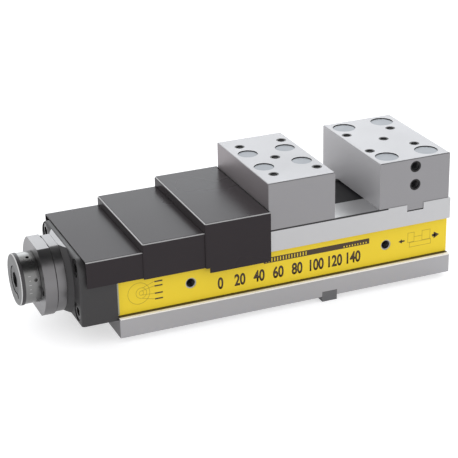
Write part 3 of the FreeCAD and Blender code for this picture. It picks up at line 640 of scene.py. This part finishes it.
# Turned pieces at the dial's end
booster_steel = lathed(
    "turned_booster_steel", dark=(0.21, 0.205, 0.21), light=(0.25, 0.245, 0.25), metallic=1.0,
    rough=(0.30, 0.38), rings=1500, depth=0.015 * MM)
dial_steel = lathed(
    "turned_dial_steel", dark=(0.23, 0.23, 0.23), light=(0.27, 0.27, 0.265), metallic=1.0,
    rough=(0.26, 0.34), rings=1800, depth=0.012 * MM)
dial_dark = lathed(
    "dark_dial_end", dark=(0.165, 0.165, 0.165), light=(0.195, 0.195, 0.195), metallic=1.0,
    rough=(0.38, 0.48), rings=1600, depth=0.012 * MM)
# Blackened steel for the cap's side, also painted as shade on the floor of its index slot
cap_side_and_slot_shade = lathed(
    "blackened_cap_side_and_slot_shade", dark=(0.065, 0.063, 0.065), light=(0.085, 0.082, 0.085), metallic=0.7,
    rough=(0.42, 0.50), rings=1600, depth=0.012 * MM)
# Painted highlight for the cap's chamfer and the dial's marks
rim_and_mark_highlight = lathed(
    "cap_rim_and_marks_painted_highlight", dark=(0.60, 0.60, 0.60), light=(0.66, 0.66, 0.66), metallic=0.8,
    rough=(0.40, 0.50), rings=1600, depth=0.012 * MM)
hub_dark = lathed(
    "dark_hub", dark=(0.10, 0.10, 0.10), light=(0.125, 0.125, 0.125), metallic=1.0,
    rough=(0.38, 0.48), rings=1600, depth=0.012 * MM)

# Screws and the pieces inside
bolt_steel = grained(
    "socket_bolts", dark=(0.07, 0.068, 0.068), light=(0.10, 0.098, 0.098), metallic=0.9,
    rough=(0.22, 0.30), lines=EVEN, fine=900, broad=60, depth=0.01 * MM)
black_oxide = grained(
    "black_oxide_screws", dark=(0.035, 0.034, 0.034), light=(0.06, 0.058, 0.058), metallic=0.9,
    rough=(0.3, 0.42), lines=EVEN, fine=900, broad=60, depth=0.01 * MM)
bright_steel = grained(
    "ground_inner_steel", dark=(0.66, 0.66, 0.67), light=(0.74, 0.74, 0.75), metallic=1.0,
    rough=(0.28, 0.38), lines=ALONG_X, fine=900, broad=20, depth=0.01 * MM)
bronze = lathed(
    "turned_bronze", dark=(0.52, 0.33, 0.13), light=(0.60, 0.40, 0.17), metallic=1.0,
    rough=(0.3, 0.4), rings=1500, depth=0.01 * MM)

SLOT_MATERIALS = {
    "jaw_steel": jaw_steel,
    "bed_steel": bed_steel,
    "label": label_yellow,
    "cover_sheet": cover_sheet,
    "housing_paint": housing_paint,
    "booster_steel": booster_steel,
    "dial_steel": dial_steel,
    "hub_steel": dial_dark,
    "black_plate": black_plate,
    "screw_steel": black_oxide,
    "plug_steel": plug_steel,
    "bright_steel": bright_steel,
    "bronze": bronze,
}
OWN_FINISH = {"drive_hub": hub_dark, "locating_keys": key_steel, "housing_bolts": bolt_steel}

# Widths of the broken edges in millimetres, for the pieces that show
EDGE_WIDTHS = {
    "bed": 0.5,
    "side_label": 0.0,
    "locating_keys": 0.3,
    "fixed_jaw": 0.3,
    "moving_jaw": 0.3,
    "fixed_jaw_plugs": 0.3,
    "moving_jaw_plugs": 0.3,
    "jaw_cover": 0.2,
    "middle_cover": 0.2,
    "fixed_cover": 0.2,
    "end_housing": 0.6,
    "housing_bolts": 0.4,
    "booster_body": 0.4,
    "booster_flange": 0.5,
    "flange_screws": 0.3,
    "force_dial": 0.3,
    "dial_cap": 0.2,
    "drive_hub": 0.2,
    "chip_plate": 0.1,
}


def dress_solids():
    """Every solid takes the material of its slot."""
    for entry in frame["record"]["subparts"]:
        node = frame["nodes"][entry["node"]]
        node.data.materials.clear()
        node.data.materials.append(SLOT_MATERIALS[entry["material_slot"]])


def slot_of(node):
    return next(e["material_slot"] for e in frame["record"]["subparts"] if e["node"] == node)


def is_bore_face(node):
    """Picks the faces of holes and pockets, painted dark as shade: inside the node's box, turned
    away from its skin.
    """
    low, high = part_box(node)

    def inside_bore(place, normal):
        inside = [low[i] + bore_inset < place[i] < high[i] - bore_inset for i in range(3)]
        if sum(inside) < 2:
            return False
        return all(inside) or abs(normal[inside.index(False)]) < level_skin

    return inside_bore


def is_mouth_face(node):
    """Picks the countersinks, painted dark as shade: bore faces just under the jaw's skin."""
    low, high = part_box(node)
    bore = is_bore_face(node)

    def at_mouth(place, normal):
        near_top = high[2] - place.z < mouth_reach
        near_side = min(place.y - low[1], high[1] - place.y) < mouth_reach
        return bore(place, normal) and (near_top or near_side) and abs(normal.z) > mouth_slope

    return at_mouth


def is_jaw_end(node, side):
    """Picks a jaw's end face: the one that grips the work, or the one at its back."""
    low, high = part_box(node)
    edge = low[0] if side < 0 else high[0]
    return lambda place, normal: side * normal.x > parallel and abs(place.x - edge) < bore_inset


def near_bed_hole(place):
    return any(math.dist((place.x, place.z), hole) < bed_hole_reach for hole in bed_holes)


# The bed holes' walls are painted dark as shade
def is_bed_hole_face(place, normal):
    return near_bed_hole(place) and abs(normal.y) < crosswise


# The bed holes' mouths are painted bright as a highlight
def is_bed_mouth_face(place, normal):
    return near_bed_hole(place) and crosswise < abs(normal.y) < level_skin


# The base below the rails is painted darker as shade
def is_foot_face(place, normal):
    return place.z < base_top


def is_ledge(place, normal):
    """Picks the base's top outside the web, with its broken outer edge: painted shade inside, a
    painted highlight at the edge.
    """
    return normal.z > partly and abs(place.z - ledge_height) < ledge_reach


def is_rail_top(place, normal):
    return normal.z > parallel and place.z > rail_edge


# The bed's end faces are painted darker as shade
def is_end_face(place, normal):
    return abs(normal.x) > parallel


def is_rail_chamfer(place, normal):
    """Picks the chamfers along the rails' top edges, which are painted dark as shade."""
    return place.z > rail_edge and normal.z > half and abs(normal.y) > half


def is_boss_flat(place, normal):
    """Picks the machined flat on the housing's boss, with its sloped run-out."""
    return place.x < housing_front and normal.z > mostly and abs(normal.y) < square


def is_booster_gap(place, normal):
    """Picks the faces and broken edges at the groove between the booster and its flange, which are
    painted dark as shade.
    """
    return abs(place.x - booster_gap_x) < booster_gap_reach and abs(normal.x) > crosswise


def is_cap_side(place, normal):
    """Picks the cap's round side, which is blackened, and the floor of its index slot, which is
    painted dark as shade.
    """
    slot_floor = place.x > cap_slot_floor and normal.x < -parallel
    return abs(normal.x) < crosswise or slot_floor


# The cap's chamfer is painted bright as a highlight
def is_cap_rim(place, normal):
    return crosswise < -normal.x < parallel


def is_fold_face(place, normal):
    """Picks the middle of each fold, which is painted bright as a highlight."""
    return fold_slopes[0] < normal.z < fold_slopes[1]


def is_rear_fold(node):
    """Picks the cover's fold against the jaw, which lies in shadow and is painted dark as shade."""
    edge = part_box(node)[1][0]

    def in_fold(place, normal):
        return place.x > edge - rear_fold and normal.x > slight and normal.z > slight

    return in_fold


def finishes_and_painted_light():
    """Finishes, painted shades and painted highlights beside the slot's own, with the test for
    their faces. A later one wins.
    """
    finishes = {
        "bed": [
            (bed_foot_shade, is_foot_face),
            (ledge_shade_and_highlight, is_ledge),
            (rail_top, is_rail_top),
            (bed_end_shade, is_end_face),
            (shade_line, is_rail_chamfer),
            (bore_shade, is_bed_hole_face),
            (bed_mouth_highlight, is_bed_mouth_face),
        ],
        "end_housing": [(booster_steel, is_boss_flat)],
        "booster_body": [(shade_line, is_booster_gap)],
        "booster_flange": [(shade_line, is_booster_gap)],
        "jaw_cover": [(fold_highlight, is_fold_face), (shade_line, is_rear_fold("jaw_cover"))],
        "middle_cover": [(fold_highlight, is_fold_face)],
        "fixed_cover": [(fold_highlight, is_fold_face)],
        "dial_cap": [(cap_side_and_slot_shade, is_cap_side), (rim_and_mark_highlight, is_cap_rim)],
    }
    # Each jaw's bores and countersinks are painted dark as shade, and its gripping face is painted
    # lighter
    for node, inner in (("fixed_jaw", -1), ("moving_jaw", 1)):
        finishes[node] = [
            (bore_shade, is_bore_face(node)),
            (mouth_shade, is_mouth_face(node)),
            (gripping_face_light, is_jaw_end(node, inner)),
        ]
    finishes["moving_jaw"].append((jaw_end_steel, is_jaw_end("moving_jaw", -1)))
    return finishes


def round_rear_fold(piece, node):
    """Rounds the cover's top edge where it meets the jaw."""
    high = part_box(node)[1]

    def at_rear(*ends):
        return all(
            high[0] - end.co.x < rim_reach and high[2] - end.co.z < rim_reach for end in ends)

    bevel_edges(piece, at_rear, rear_fold, rear_fold_segments)


def open_mouths(piece, holes):
    """Widens the holes' countersinks with a bevel on each rim."""
    rim_points = set()
    for point in piece.data.vertices:
        for centre, radius in holes:
            if abs((point.co - centre).length - radius) < rim_reach:
                rim_points.add(point.index)

    def on_rim(start, end):
        both = start.index in rim_points and end.index in rim_points
        return both and (start.co - end.co).length < m8_core

    bevel_edges(piece, on_rim, mouth_growth, 1)


def top_holes(columns, spread, middle, top):
    """Four holes at a jaw's corners and one between them, on its top."""
    places = [(x, y, top) for x in columns for y in (-spread, spread)]
    return places + [(middle, 0, top)]


def side_holes(side, word):
    """The holes in one side of the fixed jaw."""
    return [(fixed_side_holes_x[word], side * fixed_side_reach, z) for z in fixed_side_holes_z]


FIXED_TOP_HOLES = top_holes(
    fixed_hole_columns, fixed_hole_spread, fixed_hole_middle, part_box("fixed_jaw")[1][2])
MOVING_TOP_HOLES = top_holes(
    moving_hole_columns, moving_hole_spread, moving_hole_middle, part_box("moving_jaw")[1][2])


def hole_rims():
    """Where the jaws are tapped: each hole's place on the skin, and its mouth's radius."""
    fixed = [(Vector(place), m8_mouth) for place in FIXED_TOP_HOLES]
    for side, word in SIDES:
        fixed += [(Vector(place), m10_mouth) for place in side_holes(side, word)]
    moving = [(Vector(place), m8_mouth) for place in MOVING_TOP_HOLES]
    return {"fixed_jaw": fixed, "moving_jaw": moving}


TAPPED = hole_rims()


def finish_machined_pieces():
    others = finishes_and_painted_light()
    for node, width in EDGE_WIDTHS.items():
        slot = slot_of(node)
        piece = finished(node, width * MM, OWN_FINISH.get(node, SLOT_MATERIALS[slot]))
        for material, wanted in others.get(node, []):
            paint_faces(piece, material, wanted)


def thread_ridge(name, pitch, core, place, outward):
    """A helical ridge along a tapped hole's wall."""
    bpy.ops.mesh.primitive_circle_add(
        vertices=ridge_corners, radius=ridge_height, location=(core, 0, 0),
        rotation=(math.pi / 2, 0, math.pi))
    ridge = settle_active()
    screw = ridge.modifiers.new("helix", "SCREW")
    screw.screw_offset = -pitch
    screw.iterations = int(thread_depth / pitch)
    screw.steps = thread_steps
    screw.render_steps = thread_steps
    apply_modifier(ridge, screw)
    edit_all(ridge)
    bpy.ops.mesh.remove_doubles(threshold=merge_distance)
    bpy.ops.mesh.fill_holes(sides=ridge_corners)
    bpy.ops.mesh.normals_make_consistent(inside=False)
    leave_edit()
    ridge.rotation_euler = Vector(outward).to_track_quat("Z", "Y").to_euler()
    ridge.location = Vector(place) - Vector(outward) * pitch
    return settle(ridge, name)


def make_threads():
    """Threads in every tapped hole that opens to the outside."""
    up = (0, 0, 1)
    rows = [
        ("fixed_jaw_top_threads", m8_pitch, m8_core, FIXED_TOP_HOLES, up, "frame"),
        ("moving_jaw_top_threads", m8_pitch, m8_core, MOVING_TOP_HOLES, up, "jaw_carriage"),
    ]
    for side, word in SIDES:
        outward = (0, side, 0)
        jaw = side_holes(side, word)
        web = [(x, side * bed_web_reach, z) for x, z in bed_holes]
        rows.append((f"fixed_jaw_{word}_threads", m10_pitch, m10_core, jaw, outward, "frame"))
        rows.append((f"bed_{word}_threads", m10_pitch, m10_core, web, outward, "frame"))
    for name, pitch, core, places, outward, body in rows:
        ridges = [thread_ridge(name, pitch, core, place, outward) for place in places]
        threads = join_pieces(ridges, name)
        smooth(threads)
        dress(threads, thread_steel, body)


def plain_block(centre, size, turn=(0, 0, 0)):
    bpy.ops.mesh.primitive_cube_add(size=1, location=centre)
    block = bpy.context.active_object
    block.scale = size
    block.rotation_euler = turn
    return settle_active()


def make_dial_marks():
    """A plain graduation on the dial's collar, long and short marks by turns, painted bright as a
    glint.
    """
    marks = []
    for step, angle in enumerate(mark_angles):
        size = (mark_lengths[step % 2], mark_width, print_rise)
        mark = plain_block((mark_x, 0, mark_radius), size)
        edit_all(mark)
        bpy.ops.mesh.bevel(offset=mark_bevel, segments=1, affect="EDGES")
        leave_edit()
        mark.rotation_euler = (math.radians(angle), 0, 0)
        mark.location = (0, 0, axis_height)
        marks.append(settle(mark, "dial_mark"))
    dress(join_pieces(marks, "dial_marks"), rim_and_mark_highlight, "dial")


def ink_bar(left, foot, right, top):
    """A flat printed bar on the label."""
    centre = ((left + right) / 2, label_face - print_rise / 2, (foot + top) / 2)
    return plain_block(centre, (right - left, print_rise, top - foot))


def ink_line(start, end):
    """A printed line from one place on the label to another."""
    run = Vector((end[0] - start[0], 0, end[1] - start[1]))
    centre = ((start[0] + end[0]) / 2, label_face - print_rise / 2, (start[1] + end[1]) / 2)
    size = (run.length + line_width, print_rise, line_width)
    return plain_block(centre, size, (0, -math.atan2(run.z, run.x), 0))


def ink_frame(left, foot, right, top):
    corners = [(left, foot), (right, foot), (right, top), (left, top)]
    return [ink_line(corners[i], corners[(i + 1) % 4]) for i in range(4)]


def thicken(piece):
    """Gives a flat print its thickness, out from the label."""
    solid = piece.modifiers.new("ink_thickness", "SOLIDIFY")
    solid.thickness = print_rise
    solid.offset = 1
    apply_modifier(piece, solid)
    edit_all(piece)
    bpy.ops.mesh.normals_make_consistent(inside=False)
    leave_edit()
    return piece


def flat_polygon(sides, radius, x, z, turn=0):
    """A filled polygon in the label's face."""
    bpy.ops.mesh.primitive_circle_add(
        vertices=sides, radius=radius, fill_type="NGON", rotation=(math.pi / 2, turn, 0),
        location=(x, label_face, z))
    return settle_active()


def ink_ring(x, z, radius):
    ring = flat_polygon(ring_sides, radius, x, z)
    edit_all(ring)
    bpy.ops.mesh.select_mode(type="FACE")
    bpy.ops.mesh.inset(thickness=line_width)
    bpy.ops.mesh.delete(type="FACE")
    leave_edit()
    return thicken(ring)


def ink_arrow(tip, tail, z, size):
    """A printed arrow along X: a shaft and a head."""
    way = 1 if tip > tail else -1
    neck = tip - way * size
    half_shaft = size / 3
    shaft = ink_bar(min(neck, tail), z - half_shaft, max(neck, tail), z + half_shaft)
    head = flat_polygon(arrow_head_sides, size, neck, z, way * math.pi / 2)
    return [shaft, thicken(head)]


def ink_numeral(words, x):
    bpy.ops.object.text_add(location=(x, label_face, numeral_foot), rotation=(math.pi / 2, 0, 0))
    text = bpy.context.active_object
    text.data.body = words
    text.data.align_x = "CENTER"
    text.data.size = numeral_height
    text.data.offset = numeral_boldness
    text.scale = (numeral_squeeze, 1, 1)
    bpy.ops.object.convert(target="MESH")
    numeral = settle_active()
    edit_all(numeral)
    bpy.ops.mesh.remove_doubles(threshold=merge_distance)
    leave_edit()
    return thicken(numeral)


def print_ink():
    """What is printed dark: the stripe, the scale's numerals, the signs' arrows and bars."""
    ink = [ink_bar(stripe_left, stripe_foot, stripe_right, stripe_top)]
    for step, words in enumerate(scale_numerals):
        ink.append(ink_numeral(words, scale_left + step * scale_pitch))
    x, z = travel_sign_place
    for tip, tail, rise, size in travel_arrows:
        ink += ink_arrow(x + tip, x + tail, z + rise, size)
    x, z = dial_sign_place
    for rise in sign_bar_rises:
        foot = z + rise
        ink.append(ink_bar(x + sign_bar_left, foot, x + sign_bar_right, foot + sign_bar_height))
    dress(join_pieces(ink, "label_print"), label_ink, "frame")


def print_lines():
    """The signs' faint lines: a dial with its pointers, and a vise seen from the side."""
    x, z = dial_sign_place
    lines = [ink_ring(x + shift, z, radius) for shift, radius in dial_sign_rings]
    for rise in sign_bar_rises:
        start = (x + pointer_start, z + rise * pointer_share)
        lines.append(ink_line(start, (x + pointer_end, z + rise + pointer_lift)))
    x, z = travel_sign_place
    for left, foot, right, top in travel_frames:
        lines += ink_frame(x + left, z + foot, x + right, z + top)
    screw_height = z + travel_screw_rise
    screw_ends = [(x + end, screw_height) for end in travel_screw]
    lines.append(ink_line(*screw_ends))
    dress(join_pieces(lines, "label_lines"), label_line, "frame")


def print_ticks():
    """The stripe's ticks, which stand half a print's rise above it."""
    ticks = []
    foot = stripe_foot + tick_lift
    for start, count, rise in tick_rows:
        for step in range(count):
            x = start + step * tick_pitch
            ticks.append(ink_bar(x, foot, x + tick_width, foot + rise))
    scale = join_pieces(ticks, "label_ticks")
    edit_all(scale)
    bpy.ops.transform.translate(value=(0, -print_rise / 2, 0))
    leave_edit()
    dress(scale, label_yellow, "frame")


def bare_border():
    """The label's left edge, where its colour ends."""
    low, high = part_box("side_label")
    border = ink_bar(low[0], low[2] + border_gap, low[0] + border_width, high[2] - border_gap)
    dress(border, label_border, "frame")
    border.name = "label_border"


def make_camera():
    camera = bpy.data.objects.new("camera", bpy.data.cameras.new("camera"))
    bpy.context.scene.collection.objects.link(camera)
    right = Vector((math.cos(camera_azimuth), math.sin(camera_azimuth), 0))
    back = Vector((
        math.sin(camera_azimuth) * math.cos(camera_elevation),
        -math.cos(camera_azimuth) * math.cos(camera_elevation),
        math.sin(camera_elevation)))
    up = back.cross(right)
    turned_right = right * math.cos(camera_roll) + up * math.sin(camera_roll)
    turned_up = up * math.cos(camera_roll) - right * math.sin(camera_roll)
    turn = Matrix((turned_right, turned_up, back)).transposed().to_4x4()
    camera.matrix_world = Matrix.Translation(Vector(camera_place)) @ turn
    camera.data.lens = camera_lens
    camera.data.sensor_width = sensor_width
    camera.data.clip_start = camera_clip
    bpy.context.scene.camera = camera


def area_light(name, place, size, power):
    """A rectangular lamp that looks at the vise and doesn't show itself."""
    lamp = bpy.data.lights.new(name, "AREA")
    lamp.shape = "RECTANGLE"
    lamp.size, lamp.size_y = size
    lamp.energy = power
    light = bpy.data.objects.new(name, lamp)
    bpy.context.scene.collection.objects.link(light)
    light.location = place
    light.rotation_euler = (Vector(lamp_aim) - Vector(place)).to_track_quat("-Z", "Y").to_euler()
    light.visible_camera = False
    return light


def make_lights():
    """A bright backdrop behind, a soft fill in front and a white room."""
    backdrop = area_light("backdrop_softbox", backdrop_place, backdrop_size, backdrop_power)
    backdrop.data.color = backdrop_colour
    fill = area_light("front_fill", fill_place, fill_size, fill_power)
    fill.visible_glossy = False
    world = bpy.data.worlds.new("studio")
    bpy.context.scene.world = world
    world.use_nodes = True
    tree = world.node_tree
    room = tree.nodes["Background"]
    room.inputs["Color"].default_value = (room_light, room_light, room_light, 1)
    white = tree.nodes.new("ShaderNodeBackground")
    white.inputs["Color"].default_value = (1, 1, 1, 1)
    mix = tree.nodes.new("ShaderNodeMixShader")
    tree.links.new(seen_directly(tree), mix.inputs["Fac"])
    tree.links.new(room.outputs["Background"], mix.inputs[1])
    tree.links.new(white.outputs["Background"], mix.inputs[2])
    tree.links.new(mix.outputs["Shader"], tree.nodes["World Output"].inputs["Surface"])


def seen_directly(tree):
    """One for rays from the camera and for those that metal and glass send on."""
    path = tree.nodes.new("ShaderNodeLightPath")
    glossy = math_node(tree, "MAXIMUM")
    tree.links.new(path.outputs["Is Camera Ray"], glossy.inputs[0])
    tree.links.new(path.outputs["Is Glossy Ray"], glossy.inputs[1])
    every = math_node(tree, "MAXIMUM")
    tree.links.new(glossy.outputs["Value"], every.inputs[0])
    tree.links.new(path.outputs["Is Transmission Ray"], every.inputs[1])
    return every.outputs["Value"]


def stage_material(name, colour):
    """A dull material for what stands around the vise."""
    material = bpy.data.materials.new(name)
    material.use_nodes = True
    shader = material.node_tree.nodes[PRINCIPLED]
    shader.inputs["Base Color"].default_value = (*colour, 1)
    shader.inputs["Roughness"].default_value = stage_roughness
    shader.inputs["Specular IOR Level"].default_value = 0.0
    return material


def make_floor():
    """A pale floor that looks white to the camera and keeps a soft shadow."""
    foot = solid_box[0][2]
    bpy.ops.mesh.primitive_plane_add(size=floor_size, location=(0, 0, foot - floor_drop))
    floor = bpy.context.active_object
    floor.name = "floor"
    material = stage_material("floor_white", floor_colour)
    tree = material.node_tree
    glow = tree.nodes.new("ShaderNodeEmission")
    path = tree.nodes.new("ShaderNodeLightPath")
    scale = math_node(tree, "MULTIPLY")
    scale.inputs[1].default_value = floor_glow
    lift = math_node(tree, "MULTIPLY_ADD")
    lift.inputs[1].default_value = floor_lift
    both = tree.nodes.new("ShaderNodeAddShader")
    tree.links.new(seen_directly(tree), scale.inputs[0])
    tree.links.new(path.outputs["Is Camera Ray"], lift.inputs[0])
    tree.links.new(scale.outputs["Value"], lift.inputs[2])
    tree.links.new(lift.outputs["Value"], glow.inputs["Strength"])
    tree.links.new(tree.nodes[PRINCIPLED].outputs["BSDF"], both.inputs[0])
    tree.links.new(glow.outputs["Emission"], both.inputs[1])
    tree.links.new(both.outputs["Shader"], tree.nodes["Material Output"].inputs["Surface"])
    floor.data.materials.append(material)


def make_dark_card():
    """A black card overhead, as photographers set up for metal, seen only as a reflection."""
    bpy.ops.mesh.primitive_plane_add(size=1, location=card_place)
    card = bpy.context.active_object
    card.name = "dark_card"
    card.scale = (*card_size, 1)
    card.data.materials.append(stage_material("card_black", card_colour))
    card.visible_camera = False
    card.visible_diffuse = False
    card.visible_shadow = False


bpy.context.scene.view_settings.view_transform = "Standard"
make_camera()
make_lights()
make_floor()
make_dark_card()
dress_solids()
finish_machined_pieces()
make_threads()
print_ink()
print_lines()
print_ticks()
bare_border()
make_dial_marks()
